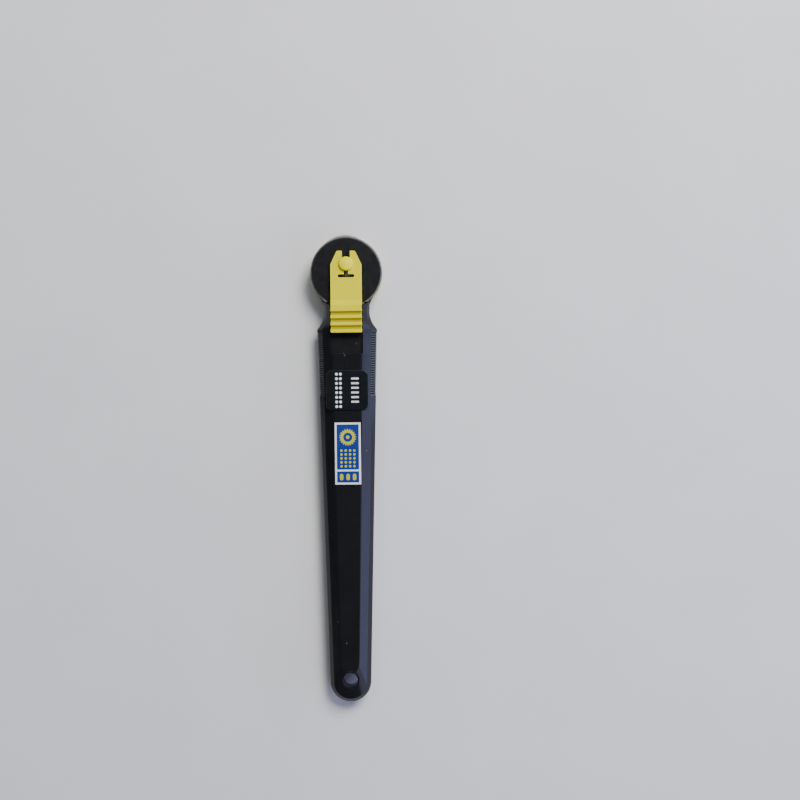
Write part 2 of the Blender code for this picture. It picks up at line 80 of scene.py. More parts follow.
PAD_TOP_Z = cad_span("finger_pad", 2)[1]
LABEL_Y = cad_span("front_label", 1)
LABEL_HALF = cad_span("front_label", 0)[1]

# The handle's outline and section
PARTING = 0.05  # half the gap between the two shells
NECK_HALF = 6.7
NECK_R = 7.7
NECK_X = NECK_HALF + NECK_R
NECK_Y = HEAD_Y - math.sqrt((HEAD_R + NECK_R) ** 2 - NECK_X**2)
TAIL_R = 6.05
TAIL_CENTRE_Y = TAIL_Y + TAIL_R
TAPER = 0.02734  # half-width gained for each millimetre towards the head
SHELL_END_Y = cad_span("front_shell", 1)[1]
STEP_TOP_Y = SHELL_END_Y - 1.4
EDGE_BAND = 1.2  # plan width of the steep outer band
GRIP_EDGE_BAND = 1.6
NECK_EDGE_BAND = 0.7
FLAT_HALF_TAIL = 2.6
FLAT_TAPER = 0.0225
FLAT_CURVE = 0.00006
FLAT_END_Y = -60.1
EDGE_Z = 5.0
FACET_Z = 6.5
HANG_HOLE_Y = -62.6
HANG_HOLE_R = 2.2

# The ridges on the sides of the grip
RIDGES = 27
RIDGE_PITCH = 0.69
RIDGE_DEPTH = 0.3
RIDGE_TOP_Y = 39.8
GROOVE_REACH = 0.36  # share of the pitch from a groove's middle to its edge
GRIP_LOW_Y = 15.0  # all the ridges lie above this
GROOVE_STATIONS = (0.0, 0.14, 0.32, 0.5, 0.68, 0.86)  # shares of the pitch that get a section

# Shell insides
WALL = 1.6
CEILING_Z = 7.2
CAVITY_Y = (-57.0, 40.0)
FRONT_POCKET_Y = 26.9
REAR_POCKET_Y = 39.7
POCKET_GAP = 0.05

# Guard plates
TANG_HALF = 5.2
TANG_GAP = 0.15
FRONT_CHAMFER = 0.42
REAR_CHAMFER = 0.25
# painted highlight: the guard's lighter rim fades in and out at these distances
RIM_HIGHLIGHT_SPAN = (-0.46, -0.4, 0.05, 0.1)  # where the lighter rim fades in and out, from the head's radius

# Slider and its window
TRAVEL = 5.0
WINDOW_HALF = 4.78
WINDOW_END_Y = 33.76
POST_HALF = 1.35
POST_Y = (45.1, 49.3)
POST_GAP = 0.1
SLIDER_LOW_Z = 7.35
SLIDER_PLATE_Z = 8.85
SLIDER_PITCH = 2.07
SLIDER_RIDGE = 0.85
SLIDER_BANK = 0.18
SLIDER_GROOVE = 0.65
FLEX_SLOT_Y = 56.55

# Screws
SCREWS = ("case_screw_front", "case_screw_middle", "case_screw_rear")
SCREW_HEAD_R = 1.9
SCREW_SHANK_R = 0.95
THREAD_ROOT_R = 0.72

# Wheel and axle
SPINDLE_R = 1.1
AXLE_R = 1.5
HEX_FLATS = 3.96
WHEEL_FACE_R = 8.4
TEETH = 96
TOOTH_BITE = (0.0, 0.0, 0.3, 0.75, 1.0, 0.75, 0.3, 0.0)  # how far each point lies into the gap
TOOTH_POINTS = len(TOOTH_BITE)
GAP_DEPTH = 0.55
GAP_PHASE = 2 * math.pi * 3.5 / TOOTH_POINTS  # where a gap's middle falls in the pattern of teeth


# ---------------------------------------------------------------- materials


class Surface:
    """A Principled material and the nodes that give it grain, gloss, wear and painted highlights."""

    def __init__(self, name, **sockets):
        self.material = bpy.data.materials.new(name)
        self.material.use_nodes = True
        self.tree = self.material.node_tree
        self.shader = self.tree.nodes["Principled BSDF"]
        for socket, value in sockets.items():
            self.shader.inputs[socket.replace("_", " ")].default_value = value
        coordinates = self.tree.nodes.new("ShaderNodeTexCoord")
        self.place = coordinates.outputs["Object"]

    def node(self, kind, inputs, **settings):
        made = self.tree.nodes.new(f"ShaderNode{kind}")
        for key, value in settings.items():
            setattr(made, key, value)
        for key, value in inputs.items():
            if isinstance(value, bpy.types.NodeSocket):
                self.tree.links.new(value, made.inputs[key])
            else:
                made.inputs[key].default_value = value
        return made

    def stretched(self, scale):
        return self.node("Mapping", {"Vector": self.place, "Scale": scale}).outputs[0]

    def noise(self, scale, detail=3.0, roughness=0.5, vector=None):
        """Scale is in cells for each metre, or in each stretched unit when a vector is given."""
        inputs = {"Scale": scale, "Detail": detail, "Roughness": roughness}
        inputs["Vector"] = vector or self.place
        return self.node("TexNoise", inputs).outputs["Fac"]

    def span(self, value, low, high, from_low=0.3, from_high=0.7):
        inputs = {"Value": value, "From Min": from_low, "From Max": from_high}
        inputs.update({"To Min": low, "To Max": high})
        return self.node("MapRange", inputs).outputs["Result"]

    def maths(self, operation, a, b=0.0):
        return self.node("Math", {0: a, 1: b}, operation=operation).outputs[0]

    def mix(self, factor, a, b):
        mixed = self.node("Mix", {"Factor": factor}, data_type="RGBA")
        for socket, value in ((mixed.inputs[6], a), (mixed.inputs[7], b)):
            if isinstance(value, bpy.types.NodeSocket):
                self.tree.links.new(value, socket)
            else:
                socket.default_value = (*value, 1.0)
        return mixed.outputs[2]

    def edges(self, width):
        """Near 1 within this many millimetres of an outer edge, where handling pales the plastic and a
        painted highlight lightens it.
        """
        geometry = self.node("NewGeometry", {})
        rounded = self.node("Bevel", {"Radius": width * MM}, samples=6)
        both = {0: rounded.outputs[0], 1: geometry.outputs["Normal"]}
        facing = self.node("VectorMath", both, operation="DOT_PRODUCT").outputs["Value"]
        near = self.span(facing, 1.0, 0.0, 0.90, 0.99)
        outer = self.span(geometry.outputs["Pointiness"], 0.0, 1.0, 0.485, 0.51)
        return self.maths("MULTIPLY", near, outer)

    def from_axis(self, centre_y):
        """Distance from an upright axis, and the x, y and z of the place measured from it."""
        shift = {"Vector": self.place, "Location": (0.0, -centre_y * MM, 0.0)}
        parts = self.node("SeparateXYZ", {"Vector": self.node("Mapping", shift).outputs[0]})
        square = [self.maths("MULTIPLY", parts.outputs[i], parts.outputs[i]) for i in (0, 1)]
        return self.maths("SQRT", self.maths("ADD", square[0], square[1])), parts.outputs

    def colour(self, socket):
        self.tree.links.new(socket, self.shader.inputs["Base Color"])

    def roughness(self, socket):
        self.tree.links.new(socket, self.shader.inputs["Roughness"])

    def bump(self, height, distance):
        bumped = self.node("Bump", {"Height": height, "Distance": distance, "Strength": 1.0})
        self.tree.links.new(bumped.outputs["Normal"], self.shader.inputs["Normal"])


def plastic(name, dark, light, edge, gloss, **extra):
    """Moulded plastic: slightly mottled, uneven gloss, fine scratches, worn edges that partly carry a
    painted highlight, a little dust.

    The groove shade colour paints shade into the hollows of the slider's grip, rim is a colour for a
    painted highlight on the outer wall and chamfer of the guard, and grip a pair for a painted highlight
    on the tops and painted shade in the grooves of the handle's side ridges.
    """
    grain, dust = extra.pop("grain", 0.000003), extra.pop("dust", 0.0)
    grime, rim, grip = (extra.pop(key, None) for key in ("grime", "rim", "grip"))
    wear, wear_width = extra.pop("wear", (0.25, 0.8)), extra.pop("wear_width", 0.16)
    look = Surface(name, **extra)
    tone = look.noise(160.0, 4.0)
    # edge mask: partly real wear, partly a painted highlight along the outer edges
    worn_and_highlit = look.maths("MULTIPLY", look.edges(wear_width), look.span(look.noise(900.0), *wear))
    base = look.mix(look.span(tone, 0.0, 1.0), dark, light)
    # painted shade: the slider's grip is darkened towards the groove shade colour low in its grooves,
    # behind the ramp
    if grime:
        parts = look.node("SeparateXYZ", {"Vector": look.place})
        hollow = look.span(parts.outputs[2], 1.0, 0.0, 9.72 * MM, 9.92 * MM)
        behind = look.span(parts.outputs[1], 1.0, 0.0, 47.3 * MM, 47.8 * MM)
        base = look.mix(look.maths("MULTIPLY", hollow, behind), base, grime)
    # painted highlight: a lighter band on the guard's outer wall and chamfer, made patchy by noise
    if rim:
        from_head = look.from_axis(HEAD_Y)[0]
        rises, risen, falls, fallen = ((HEAD_R + step) * MM for step in RIM_HIGHLIGHT_SPAN)
        out = look.span(from_head, 0.0, 1.0, rises, risen)
        inside = look.span(from_head, 1.0, 0.0, falls, fallen)
        highlight_breakup = look.span(look.noise(1300.0, 4.0), 0.35, 1.0)
        rim_highlight_mask = look.maths("MULTIPLY", look.maths("MULTIPLY", out, inside), highlight_breakup)
        base = look.mix(rim_highlight_mask, base, rim)
    # the lighter edge tone is partly wear and partly a painted highlight
    base = look.mix(worn_and_highlit, base, edge)
    # painted highlight and shade: the handle's side ridges get lighter tops and darker grooves, in step
    # with the ridge pitch
    if grip:
        place = look.node("SeparateXYZ", {"Vector": look.place}).outputs
        turn = look.maths("MULTIPLY", place[1], 2 * math.pi / (RIDGE_PITCH * MM))
        phase = 2 * math.pi * RIDGE_TOP_Y / RIDGE_PITCH
        wave = look.maths("COSINE", look.maths("SUBTRACT", turn, phase))
        low_y, high_y = RIDGE_TOP_Y - RIDGES * RIDGE_PITCH, RIDGE_TOP_Y + RIDGE_PITCH / 2
        above = look.span(place[1], 0.0, 1.0, low_y * MM, (low_y + 0.3) * MM)
        below = look.span(place[1], 1.0, 0.0, (high_y - 0.3) * MM, high_y * MM)
        along = look.maths("MULTIPLY", above, below)
        off_middle = look.maths("ABSOLUTE", look.maths("SUBTRACT", place[2], THICKNESS / 2 * MM))
        on_band = look.span(off_middle, 1.0, 0.0, 2.1 * MM, 2.2 * MM)
        mask = look.maths("MULTIPLY", along, on_band)
        ridges = look.mix(look.span(wave, 1.0, 0.0, -0.3, 0.45), *grip[::-1])
        base = look.mix(mask, base, ridges)
    if dust:
        specks = look.node("TexVoronoi", {"Vector": look.place, "Scale": 330.0})
        small = look.span(specks.outputs["Distance"], 1.0, 0.0, 0.022, 0.04)
        chance = look.node("SeparateColor", {"Color": specks.outputs["Color"]}).outputs[0]
        rare = look.span(chance, 0.0, dust, 0.6, 0.62)
        base = look.mix(look.maths("MULTIPLY", small, rare), base, (0.5, 0.5, 0.52))
    look.colour(base)
    scratches = look.noise(1.0, 2.0, 0.6, look.stretched((5200.0, 240.0, 5200.0)))
    scratched = look.span(scratches, 0.0, 0.1, 0.62, 0.7)
    cloudy = look.span(look.noise(420.0, 5.0), gloss[0], gloss[1])
    look.roughness(look.maths("ADD", cloudy, scratched))
    skin = look.noise(5200.0, 2.0)
    look.bump(look.maths("ADD", skin, look.maths("MULTIPLY", scratches, 0.6)), grain)
    return look.material


def steel(name, dark, light, gloss, lay):
    """Machined steel. lay is the scale of the tool marks along each axis."""
    look = Surface(name, Metallic=1.0)
    marks = look.noise(1.0, 4.0, 0.65, look.stretched(lay))
    stain = look.span(look.noise(700.0, 4.0), 0.0, 1.0)
    look.colour(look.mix(stain, dark, light))
    dull = look.span(stain, gloss[0], gloss[1], 0.0, 1.0)
    look.roughness(look.maths("ADD", dull, look.span(marks, 0.0, 0.14)))
    look.bump(marks, 0.000003)
    return look.material


def turned_steel(name, dark, light, gloss, teeth=0):
    """Steel that was ground while it turned: rings about the axle, staining, and painted shade in the gaps
    between teeth.
    """
    look = Surface(name, Metallic=1.0)
    radius, place = look.from_axis(AXLE_Y)
    ring = look.node("CombineXYZ", {"X": radius, "Y": place[2]}).outputs[0]
    marks = look.noise(9000.0, 3.0, 0.7, ring)
    stain = look.span(look.noise(600.0, 4.0), 0.0, 1.0)
    base, rough = look.mix(stain, dark, light), look.span(marks, gloss[0], gloss[1])
    # painted shade: the gaps between the teeth are darkened almost to black
    if teeth:
        turn = look.maths("MULTIPLY", look.maths("ARCTAN2", place[1], place[0]), float(teeth))
        wave = look.maths("COSINE", look.maths("SUBTRACT", turn, GAP_PHASE))
        rim = look.span(radius, 0.0, 1.0, 8.35 * MM, 8.6 * MM)
        shaded_gap = look.maths("MULTIPLY", look.span(wave, 0.0, 1.0, -0.55, 0.0), rim)
        base = look.mix(shaded_gap, base, (0.012, 0.011, 0.010))
        rough = look.maths("ADD", rough, look.maths("MULTIPLY", shaded_gap, 0.25))
    look.colour(base)
    look.roughness(rough)
    look.bump(marks, 0.000004)
    return look.material


def make_materials():
    """Each colour is (dark, light), and for a plastic also the tone of its worn edges, which is partly a
    painted highlight.
    """
    black = ((0.0072, 0.0077, 0.0095), (0.0088, 0.0093, 0.0113), (0.045, 0.047, 0.052))
    satin = ((0.0058, 0.0062, 0.0068), (0.0074, 0.0078, 0.0086), (0.05, 0.05, 0.055))
    pad = ((0.0048, 0.0068, 0.0085), (0.0062, 0.0085, 0.0105), (0.035, 0.037, 0.04))
    yellow = ((0.64, 0.585, 0.0005), (0.69, 0.630, 0.001), (0.98, 0.94, 0.10))
    knob = ((0.78, 0.715, 0.0005), (0.84, 0.770, 0.001), (0.98, 0.94, 0.06))
    rear = ((0.60, 0.545, 0.002), (0.66, 0.600, 0.003), (0.90, 0.86, 0.08))
    soft = {"Subsurface_Weight": 0.05, "Subsurface_Radius": (0.0012, 0.0009, 0.0001)}
    # the yellow plastics get a wide, strong edge tone: wear and a painted highlight
    soft.update({"Specular_IOR_Level": 0.12, "wear": (0.6, 1.0), "wear_width": 0.3})
    glossy = {"IOR": 1.5, "Specular_IOR_Level": 0.26, "dust": 0.75}
    # grip holds the painted highlight of the ridge tops and the painted shade of the grooves
    grip = ((0.046, 0.048, 0.055), (0.0035, 0.0038, 0.0045))
    # rim is the colour of a painted highlight on the guard's outer wall and chamfer
    matt = {"IOR": 1.5, "Specular_IOR_Level": 0.28, "dust": 0.7, "rim": (0.13, 0.13, 0.137)}
    white = ((0.74, 0.75, 0.77), (0.82, 0.83, 0.85), (0.9, 0.9, 0.9))
    blue = ((0.006, 0.028, 0.19), (0.009, 0.036, 0.22), (0.05, 0.09, 0.35))
    gold = ((0.46, 0.45, 0.012), (0.52, 0.51, 0.02), (0.7, 0.68, 0.1))
    # painted shade for the floors of the slider's grooves
    groove_shade_colour = (0.38, 0.300, 0.0005)
    ground = ((0.16, 0.16, 0.167), (0.23, 0.23, 0.24))
    bright = ((0.52, 0.52, 0.53), (0.66, 0.66, 0.66))
    brass = ((0.58, 0.42, 0.15), (0.72, 0.55, 0.22))
    blued = ((0.30, 0.32, 0.36), (0.42, 0.44, 0.48))
    zinc = ((0.20, 0.20, 0.21), (0.34, 0.34, 0.35))
    return {
        "handle": plastic("handle_black", *black, (0.15, 0.22), grip=grip, **glossy),
        "guard": plastic("guard_black", *satin, (0.26, 0.34), **matt),
        "pad": plastic("pad_black", *pad, (0.2, 0.28), **glossy),
        "slider": plastic("slider_yellow", *yellow, (0.40, 0.50), grime=groove_shade_colour, **soft),
        "knob": plastic("knob_yellow", *knob, (0.34, 0.44), **soft),
        "rear_guard": plastic("guard_yellow", *rear, (0.36, 0.46), **soft),
        "keeper": plastic("inner_plastic", *white, (0.4, 0.55)),
        "print_white": plastic("print_white", *white, (0.35, 0.5), grain=0.000002),
        "label_white": plastic("label_white", *white, (0.22, 0.32), grain=0.000001),
        "label_blue": plastic("label_blue", *blue, (0.22, 0.32), grain=0.000001),
        "label_gold": plastic("label_gold", *gold, (0.22, 0.32), grain=0.000001),
        "wheel": turned_steel("wheel_steel", *ground, (0.24, 0.34), TEETH),
        "pin": turned_steel("pin_steel", *bright, (0.16, 0.28)),
        "hub": turned_steel("hub_brass", *brass, (0.22, 0.36)),
        "spring": steel("spring_steel", *blued, (0.22, 0.34), (9000, 400, 9000)),
        "screw": steel("screw_steel", *zinc, (0.28, 0.42), (2500, 2500, 2500)),
    }


# ---------------------------------------------------------------- mesh tools


def new_object(name, bm, material):
    for vert in bm.verts:
        vert.co *= MM
    bmesh.ops.recalc_face_normals(bm, faces=bm.faces)
    if bm.calc_volume(signed=True) < 0:
        bmesh.ops.reverse_faces(bm, faces=bm.faces)
    mesh = bpy.data.meshes.new(name)
    bm.to_mesh(mesh)
    bm.free()
    mesh.materials.append(material)
    obj = bpy.data.objects.new(name, mesh)
    bpy.context.scene.collection.objects.link(obj)
    return obj


def close_rings(bm, rings):
    count = len(rings[0])
    for low, high in zip(rings, rings[1:]):
        for i in range(count):
            j = (i + 1) % count
            bm.faces.new((low[i], low[j], high[j], high[i]))
    bm.faces.new(rings[0])
    bm.faces.new(rings[-1])


def loft(loops):
    bm = bmesh.new()
    close_rings(bm, [[bm.verts.new(point) for point in loop] for loop in loops])
    return bm


def prism(outline, z_low, z_high):
    return loft([[(x, y, z) for x, y in outline] for z in (z_low, z_high)])


def box(x_span, y_span, z_span):
    (x0, x1), (y0, y1) = x_span, y_span
    return prism([(x0, y0), (x1, y0), (x1, y1), (x0, y1)], *z_span)


def profile_along_x(profile, x_span):
    return loft([[(x, y, z) for y, z in profile] for x in x_span])


def circle(x, y, radius, segments=64):
    angles = [2 * math.pi * i / segments for i in range(segments)]
    return [(x + radius * math.cos(a), y + radius * math.sin(a)) for a in angles]


def cylinder(x, y, radius, z_span, segments=64):
    return prism(circle(x, y, radius, segments), *z_span)


def turned(x, y, profile, segments=72):
    """A round solid about a vertical axis, from (radius, z) points."""
    return loft([[(px, py, z) for px, py in circle(x, y, r, segments)] for r, z in profile])


def slot_outline(x, y_low, y_high, radius, segments=16):
    ends = ((y_high, 0.0), (y_low, math.pi))
    return [
        (x + radius * math.cos(start + a), y + radius * math.sin(start + a))
        for y, start in ends
        for a in (math.pi * i / segments for i in range(segments + 1))
    ]


def rounded_rectangle(half, y_low, y_high, radius, segments=10):
    corners = ((half, y_high, 0), (-half, y_high, 1), (-half, y_low, 2), (half, y_low, 3))
    points = []
    for x, y, quarter in corners:
        centre_x = x - math.copysign(radius, x)
        centre_y = y - radius if y == y_high else y + radius
        for i in range(segments + 1):
            a = math.pi / 2 * (quarter + i / segments)
            points.append((centre_x + radius * math.cos(a), centre_y + radius * math.sin(a)))
    return points


def bend(a, corner, b, radius, steps):
    """Points of a small curve that rounds a corner between its two neighbours."""
    a, corner, b = Vector(a), Vector(corner), Vector(b)
    first, second = a - corner, b - corner
    reach_a = min(radius, 0.45 * first.length)
    reach_b = min(radius, 0.45 * second.length)
    start = corner + first.normalized() * reach_a if reach_a else corner
    end = corner + second.normalized() * reach_b if reach_b else corner
    points = []
    for i in range(steps + 1):
        t = i / steps
        points.append(start * (1 - t) ** 2 + corner * 2 * t * (1 - t) + end * t**2)
    return points


def round_path(points, radius, steps):
    """An open path with each inner corner rounded."""
    path = [Vector(points[0])]
    for a, corner, b in zip(points, points[1:], points[2:]):
        path += bend(a, corner, b, radius, steps)
    return [*path, Vector(points[-1])]


def round_levels(levels):
    """Loops of one solid, from (loop, corner radius, steps). A level with no radius stays as it is."""
    loops = [levels[0][0]]
    for k in range(1, len(levels) - 1):
        loop, radius, steps = levels[k]
        if not radius:
            loops.append(loop)
            continue
        before, after = levels[k - 1][0], levels[k + 1][0]
        curves = [bend(a, c, b, radius, steps) for a, c, b in zip(before, loop, after)]
        loops += [[curve[i] for curve in curves] for i in range(steps + 1)]
    return [*loops, levels[-1][0]]


def boolean(target, bm, operation, label):
    tool = new_object(label, bm, target.data.materials[0])
    modifier = target.modifiers.new(label, "BOOLEAN")
    modifier.operation = operation
    modifier.object = tool
    modifier.solver = "EXACT"
    graph = bpy.context.evaluated_depsgraph_get()
    mesh = bpy.data.meshes.new_from_object(target.evaluated_get(graph))
    target.modifiers.clear()
    target.data = mesh
    bpy.data.objects.remove(tool)


def cut(target, bm, label):
    boolean(target, bm, "DIFFERENCE", label)


def soften(obj, width, segments, angle):
    """Rounds the edges that cuts left sharp, and evens the shading."""
    obj.data.shade_smooth()
    bevel = obj.modifiers.new("edge_round", "BEVEL")
    bevel.width = width * MM
    bevel.segments = segments
    bevel.limit_method = "ANGLE"
    bevel.angle_limit = math.radians(angle)
    bevel.use_clamp_overlap = True
    bevel.miter_outer = "MITER_ARC"
    bevel.harden_normals = True


def smooth_faces(obj, angle=40):
    obj.data.shade_smooth()
    obj.data.set_sharp_from_angle(angle=math.radians(angle))
    weighted = obj.modifiers.new("even_shading", "WEIGHTED_NORMAL")
    weighted.keep_sharp = True
    weighted.weight = 100


def stand_for(obj, body, slot, *nodes):
    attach(obj, body)
    if nodes:
        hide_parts(*nodes)


# ---------------------------------------------------------------- handle section


def blend(value, start, end, low, high):
    t = min(1.0, max(0.0, (value - start) / (end - start)))
    t = t * t * (3 - 2 * t)
    return low + (high - low) * t


def half_width(y):
    tapered = TAIL_R + TAPER * (y - TAIL_CENTRE_Y)
    if abs(y - NECK_Y) >= NECK_R:
        return tapered
    return min(tapered, NECK_X - math.sqrt(NECK_R**2 - (y - NECK_Y) ** 2))


def facet_half(y):
    handle_band = blend(y, 0.0, 22.0, EDGE_BAND, GRIP_EDGE_BAND)
    return half_width(y) - blend(y, 41.0, 46.0, handle_band, NECK_EDGE_BAND)


def flat_half(y):
    along = y - TAIL_CENTRE_Y
    return FLAT_HALF_TAIL + FLAT_TAPER * along - FLAT_CURVE * along**2


def ridge_dip(y):
    """How deep the grip's groove is at a station, from 0 on a ridge to 1 in a groove."""
    steps = (RIDGE_TOP_Y - y) / RIDGE_PITCH
    if not -0.5 <= steps <= RIDGES - 0.5:
        return 0.0
    return max(0.0, 1.0 - abs(steps - round(steps)) / GROOVE_REACH)


def handle_stations():
    neck = [48.6 - 0.45 * i for i in range(19)]
    grip = [
        RIDGE_TOP_Y + RIDGE_PITCH * (0.5 - i - step)
        for i in range(RIDGES)
        for step in GROOVE_STATIONS
    ]
    handle = [20.0, 15.0, 10.0, 5.0, 0.0, -8.0, -16.0, -24.0, -32.0, -40.0, -48.0, -56.0]
    grip_end = grip[-1] - GROOVE_STATIONS[1] * RIDGE_PITCH
    ys = [SHELL_END_Y, *neck, *grip, grip_end, *handle, -60.0]
    return [*ys, TAIL_CENTRE_Y]


def handle_loop(z, width, dip=0.0, shrink=0.0):
    """A closed loop round the handle. width gives its half-width at a station, and dip scales the grooves.

    The flat band stops short of the neck and of the tail, so its last points there are bunched up.
    """
    flat = width is flat_half
    right = []
    for y in handle_stations():
        x = width(y) - shrink - dip * RIDGE_DEPTH * ridge_dip(y)
        if y == SHELL_END_Y:
            y = (STEP_TOP_Y if flat else y) - shrink
        elif y > STEP_TOP_Y - 0.2 and flat:
            y = STEP_TOP_Y - 0.02 * (SHELL_END_Y - y) - shrink
        if y == TAIL_CENTRE_Y and flat:
            y = FLAT_END_Y + width(y)
        elif y < FLAT_END_Y + 3.2 and flat:
            y = FLAT_END_Y + 2.7 + 0.01 * (y + 60)
        right.append((x, y))
    tail_r, tail_y = right[-1]
    steps = 32
    arc = [
        (tail_r * math.cos(a), tail_y + tail_r * math.sin(a))
        for a in (-math.pi * i / steps for i in range(1, steps))
    ]
    left = [(-x, y) for x, y in reversed(right)]
    return [(x, y, z) for x, y in right + arc + left]


def between(low, high, share):
    return [
        tuple(a + (b - a) * share for a, b in zip(first, second))
        for first, second in zip(low, high)
    ]


def turn_over(loops, rear):
    if not rear:
        return loops
    return [[(p[0], p[1], THICKNESS - p[2]) for p in loop] for loop in loops]


def shell_blank(rear):
    """The outer shape of one half of the handle, with rounded facet edges and the grip's ridges."""
    middle = THICKNESS / 2
    edge_low = handle_loop(middle + PARTING + 0.12, half_width, 1.0)
    edge = handle_loop(EDGE_Z, half_width, 1.0)
    facet = handle_loop(FACET_Z, facet_half)
    flat = handle_loop(THICKNESS, flat_half)
    ridge_end = [
        (x - math.copysign(RIDGE_DEPTH * ridge_dip(y), x) if y > GRIP_LOW_Y else x, y, z)
        for x, y, z in between(handle_loop(EDGE_Z, half_width), facet, 0.9)
    ]
    levels = (
        (handle_loop(middle + PARTING, half_width, 1.0, 0.1), 0.0, 0),
        (edge_low, 0.0, 0),
        (edge, 0.35, 3),
        (ridge_end, 0.0, 0),
        (facet, 0.14, 4),
        (flat, 0.35, 5),
        (handle_loop(THICKNESS, flat_half, 0.0, 0.8), 0.0, 0),
    )
    return loft(turn_over(round_levels(levels), rear))


def cavity(rear):
    """The hollow of one half, open at the parting."""
    open_z = THICKNESS / 2 - 0.3
    loops = []
    for y in CAVITY_Y:
        wide = half_width(y) - WALL
        middle = facet_half(y) - WALL
        narrow = min(flat_half(y), middle) - 0.6
        right = [(wide, open_z), (wide, EDGE_Z), (middle, FACET_Z - 0.3), (narrow, CEILING_Z)]
        points = right + [(-x, z) for x, z in reversed(right)]
        loops.append([(x, y, z) for x, z in points])
    return loft(turn_over(loops, rear))


def tang_pocket(low_y, z_span):
    half = TANG_HALF + TANG_GAP
    return box((-half, half), (low_y, SHELL_END_Y + 2), z_span)


def wheel_pocket():
    z_span = (GUARD_REAR_Z[1] - POCKET_GAP, GUARD_FRONT_Z[0] + POCKET_GAP)
    return cylinder(0, AXLE_Y - TRAVEL, WHEEL_R + 0.7, z_span, 128)


def hang_hole(rear):
    """The through hole with a countersunk mouth."""
    mouth = [(0.0, 3.0), (0.0, 7.1), (0.62, 8.1), (1.2, 9.6)]
    loops = [
        [(x, y, z) for x, y in circle(0, HANG_HOLE_Y, HANG_HOLE_R + wider, 72)]
        for wider, z in mouth
    ]
    return loft(turn_over(loops, rear))


def screw_y(name):
    return sum(cad_span(name, 1)) / 2


def make_front_shell(looks):
    shell = new_object("front_shell_fine", shell_blank(rear=False), looks["handle"])
    cut(shell, cavity(rear=False), "cavity")
    pocket_z = (4.0, GUARD_FRONT_Z[1] + POCKET_GAP)
    cut(shell, tang_pocket(FRONT_POCKET_Y, pocket_z), "tang_pocket")
    window = box((-WINDOW_HALF, WINDOW_HALF), (WINDOW_END_Y, SHELL_END_Y + 2), (7.0, 10.0))
    cut(shell, window, "window")
    cut(shell, wheel_pocket(), "wheel_pocket")
    cut(shell, hang_hole(rear=False), "hang_hole")
    for name in SCREWS:
        y = screw_y(name)
        boolean(shell, cylinder(0, y, 2.2, (4.4, 7.6)), "UNION", "boss")
        cut(shell, cylinder(0, y, 1.0, (4.0, 7.1)), "pilot")
    smooth_faces(shell, 32)
    stand_for(shell, "handle", "handle_black", "front_shell")


def make_rear_shell(looks):
    shell = new_object("rear_shell_fine", shell_blank(rear=True), looks["handle"])
    cut(shell, cavity(rear=True), "cavity")
    pocket_z = (GUARD_REAR_Z[0] - POCKET_GAP, 5.0)
    cut(shell, tang_pocket(REAR_POCKET_Y, pocket_z), "tang_pocket")
    cut(shell, wheel_pocket(), "wheel_pocket")
    cut(shell, hang_hole(rear=True), "hang_hole")
    for name in SCREWS:
        y = screw_y(name)
        boolean(shell, cylinder(0, y, 2.9, (0.5, 4.2)), "UNION", "boss")
        cut(shell, cylinder(0, y, SCREW_HEAD_R + 0.2, (-1.0, 1.6)), "counterbore")
        cut(shell, cylinder(0, y, 1.05, (1.0, 5.0)), "hole")
    smooth_faces(shell, 32)
    stand_for(shell, "handle", "handle_black", "rear_shell")


# ---------------------------------------------------------------- pad, label and screws


def make_finger_pad(looks):
    """A thumb pad: drafted sides, a rounded top edge and a very shallow dish."""
    low, high = PAD_Y

    def outline(inset, z):
        radius = max(0.4, 2.0 - inset)
        half = PAD_HALF - inset
        return [(x, y, z) for x, y in rounded_rectangle(half, low + inset, high - inset, radius)]

    top = PAD_TOP_Z
    levels = (
        (outline(0.0, 6.0), 0.0, 0),
        (outline(0.12, top), 0.32, 6),
        (outline(1.3, top), 0.5, 3),
        (outline(3.2, top - 0.07), 0.5, 3),
        (outline(5.2, top - 0.09), 0.0, 0),
    )
    pad = new_object("finger_pad_fine", loft(round_levels(levels)), looks["pad"])
    smooth_faces(pad)
    stand_for(pad, "handle", "pad_black", "finger_pad")


def dashes(spots, z_low, z_high):
    """Small flat marks, each (x, y, half width, half length), as one mesh."""
    bm = bmesh.new()
    for x, y, wide, long in spots:
        reach = max(0.0, long - wide)
        outline = slot_outline(x, y - reach, y + reach, wide, 10)
        rings = [[bm.verts.new((px, py, z)) for px, py in outline] for z in (z_low, z_high)]
        close_rings(bm, rings)
    return bm


def make_pad_print(looks):
    """A line of rivet dots beside a line of dashes, printed on the pad."""
    middle = sum(PAD_Y) / 2
    spots = [(x, middle + 4.75 - 1.36 * i, 0.41, 0.41) for i in range(8) for x in (-3.1, -1.95)]
    spots += [
        (2.3 + 0.42 * k, middle + 3.4 - 1.36 * i, 0.3, 0.3)
        for i in range(6)
        for k in range(-2, 3)
    ]
    z = PAD_TOP_Z - 0.09
    marks = new_object("pad_print", dashes(spots, z - 0.1, z + 0.115), looks["print_white"])
    smooth_faces(marks)
    stand_for(marks, "handle", "pad_black")


def skin_height(x, y):
    """Height of the handle's front over a point near the flat band."""
    corner = (flat_half(y), THICKNESS)
    curve = bend((facet_half(y), FACET_Z), corner, (corner[0] - 0.8, THICKNESS), 0.35, 12)
    path = [(facet_half(y), FACET_Z)] + [tuple(p) for p in curve]
    for (x0, z0), (x1, z1) in zip(path, path[1:]):
        if x1 <= abs(x) <= x0:
            return z1 + (z0 - z1) * (abs(x) - x1) / (x0 - x1)
    return THICKNESS


